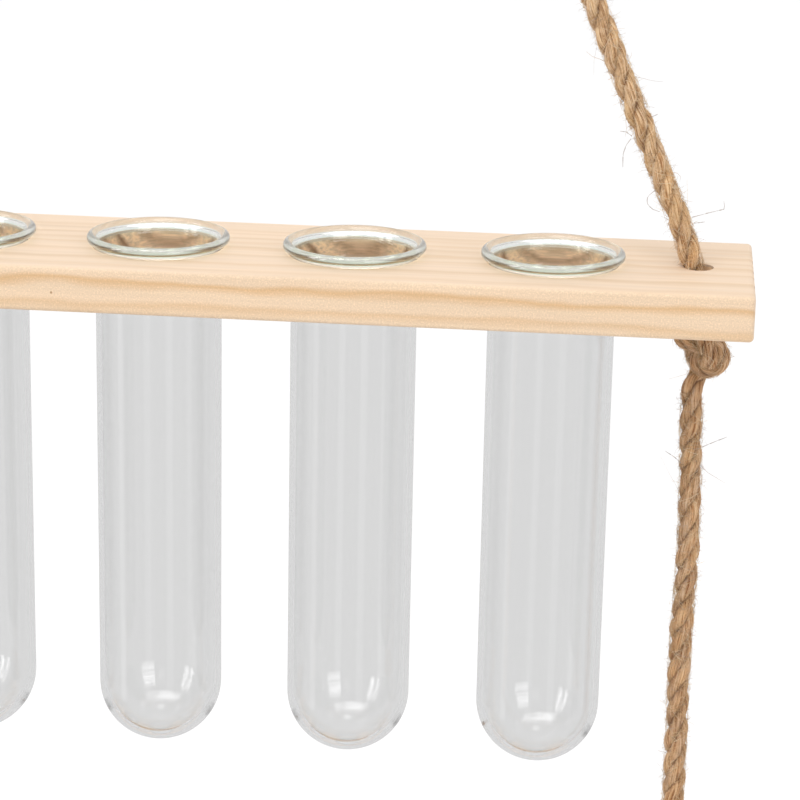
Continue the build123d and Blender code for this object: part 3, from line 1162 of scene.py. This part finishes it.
greyRoom = {
    # what the glass mirrors where there is no window
    "distance": 3.4,       # m, the wall
    "windows": 3.0,        # m
    "middle": -0.47,       # the height that directions are measured from
    "low": -3.2,
    "high": 4.5,
    "brightness": 0.68,
    "sides": 48,
}
brightest = 10.0           # the level that a glow's ramp holds as 1
directTurns = 7.5          # turns that light makes inside the glass before it sees a plain level
unseenBy = ("camera", "diffuse", "shadow", "volume_scatter")


def gridFaces(columns, rows):
    # each face joins a point to its next neighbours both ways
    i, j = np.meshgrid(np.arange(columns - 1), np.arange(rows - 1), indexing="ij")
    corner = i * rows + j
    return np.stack([corner, corner + rows, corner + rows + 1, corner + 1], -1).reshape(-1, 4)


def makeFloor(settings):
    # a square grid of points, flat
    half = settings["floorHalf"]
    u, v = np.meshgrid(np.linspace(-half, half, 9), np.linspace(-half, half, 9), indexing="ij")
    points = np.stack([u, v, np.full_like(u, settings["floorHeight"])], -1).reshape(-1, 3)
    material, tree, shader = newMaterial("paleFloor")
    cloud = grain(tree, onPiece(tree), (0.6, 0.6, 0.6), 1.0)
    colour = mixColour(tree, cloud, settings["floorColour"], settings["floorDarker"])
    feed(tree, shader.inputs["Base Color"], colour)
    setSockets(shader, settings["floorSockets"])
    floor = putMesh("floor", points, gridFaces(9, 9), [], material)
    # the glass shows the plain pale world in the floor's place
    floor.visible_glossy = False
    floor.visible_transmission = False


def makeWorld(settings):
    # an even pale surrounding
    world = bpy.data.worlds.new("paleStudio")
    world.use_nodes = True
    setSockets(world.node_tree.nodes["Background"], settings["world"])
    bpy.context.scene.world = world


def makeLamps(settings):
    # soft oval lights, each turned to its target
    for name, (place, target, width, height, power) in settings.items():
        data = bpy.data.lights.new(name, "AREA")
        data.shape = "ELLIPSE"
        data.size = width
        data.size_y = height
        data.energy = power
        holder = bpy.data.objects.new(name, data)
        bpy.context.scene.collection.objects.link(holder)
        holder.location = place
        holder.rotation_euler = (Vector(target) - Vector(place)).to_track_quat("-Z", "Y").to_euler()
        holder.visible_camera = False


def glowing(name, levels, low, high, plain=1.0):
    # A glow with its levels evenly from low to high. Light that has run on inside the glass
    # wall for more than a few turns sees only the plain level, as the uneven glass would blur it.
    material, tree, glow = newMaterial(name, "ShaderNodeEmission")
    height = spread(tree, split(tree, onPiece(tree))[2], low, high)
    stops = [(place, level / brightest) for place, level in zip(np.linspace(0, 1, len(levels)), levels)]
    strength = sums(tree, "MULTIPLY", ramp(tree, height, stops), brightest)
    turns = tree.nodes.new("ShaderNodeLightPath").outputs["Ray Depth"]
    direct = sums(tree, "LESS_THAN", turns, directTurns)
    extra = sums(tree, "SUBTRACT", strength, plain)
    feed(tree, glow.inputs["Strength"], sums(tree, "MULTIPLY_ADD", extra, direct, plain))
    material.cycles.emission_sampling = "NONE"
    return material


def putGlow(name, points, columns, rows, material, hiddenFrom):
    # a grid of points as a stage piece that only some light sees
    piece = putMesh(name, points.reshape(-1, 3), gridFaces(columns, rows), [], material)
    for sight in hiddenFrom:
        setattr(piece, "visible_" + sight, False)


def makePanels(settings, room):
    # an upright grid of points that faces the tubes; its glow is a little uneven with height
    distance = room["windows"]
    u, v = np.meshgrid(np.linspace(-0.5, 0.5, 5), np.linspace(0, 1, 9), indexing="ij")
    for name, (bearing, wide, lowest, highest, brightness) in settings.items():
        turn = math.radians(bearing)
        low, high = (room["middle"] + distance * math.tan(math.radians(e)) for e in (lowest, highest))
        out = np.array([math.sin(turn), -math.cos(turn), 0.0])
        beside = np.array([math.cos(turn), math.sin(turn), 0.0])
        points = out * distance + u[..., None] * distance * math.radians(wide) * beside
        points[..., 2] = low + v * (high - low)
        full = room["brightness"] + brightness
        putGlow(name, points, 5, 9, glowing(name, (full, full * 0.94, full), low, high), unseenBy)


def makeSkylight(settings):
    # rings of points from the middle out to an ellipse
    turn, share = np.meshgrid(np.linspace(0, 2 * np.pi, 49), np.linspace(0.02, 1, 4), indexing="ij")
    x, y, z = settings["place"]
    points = np.stack([
        x + settings["halfWidth"] * share * np.cos(turn),
        y + settings["halfDepth"] * share * np.sin(turn),
        np.full_like(turn, z),
    ], -1)
    material = glowing("skylight", (settings["brightness"],) * 2, z - 1, z + 1)
    putGlow("skylight", points, 49, 4, material, (*unseenBy, "glossy"))


def makeGreyRoom(settings):
    # an upright cylinder of points round the rack, closed below
    far, low, high = settings["distance"], settings["low"], settings["high"]
    outline = np.array([(0.02, low), (far * 0.5, low), (far, low), (far, 0.0), (far, high)])
    columns = settings["sides"] + 1
    turn = np.linspace(0, 2 * np.pi, columns)[:, None]
    points = np.stack([
        outline[:, 0] * np.cos(turn),
        outline[:, 0] * np.sin(turn),
        np.broadcast_to(outline[:, 1], (columns, len(outline))),
    ], -1)
    grey = settings["brightness"]
    material = glowing("greyRoom", (grey, grey), low, high, grey)
    putGlow("greyRoom", points, columns, len(outline), material, (*unseenBy, "transmission"))


makeFloor(stageLook)
makeWorld(stageLook)
makeLamps(lamps)
makePanels(panels, greyRoom)
makeSkylight(skylight)
makeGreyRoom(greyRoom)
lightTurns = 400    # light that runs on inside the glass wall needs many turns before it leaves
cycles = bpy.context.scene.cycles
cycles.max_bounces = lightTurns
cycles.glossy_bounces = lightTurns
cycles.transmission_bounces = lightTurns
bpy.context.scene.view_settings.view_transform = "Standard"
print("stage lit")
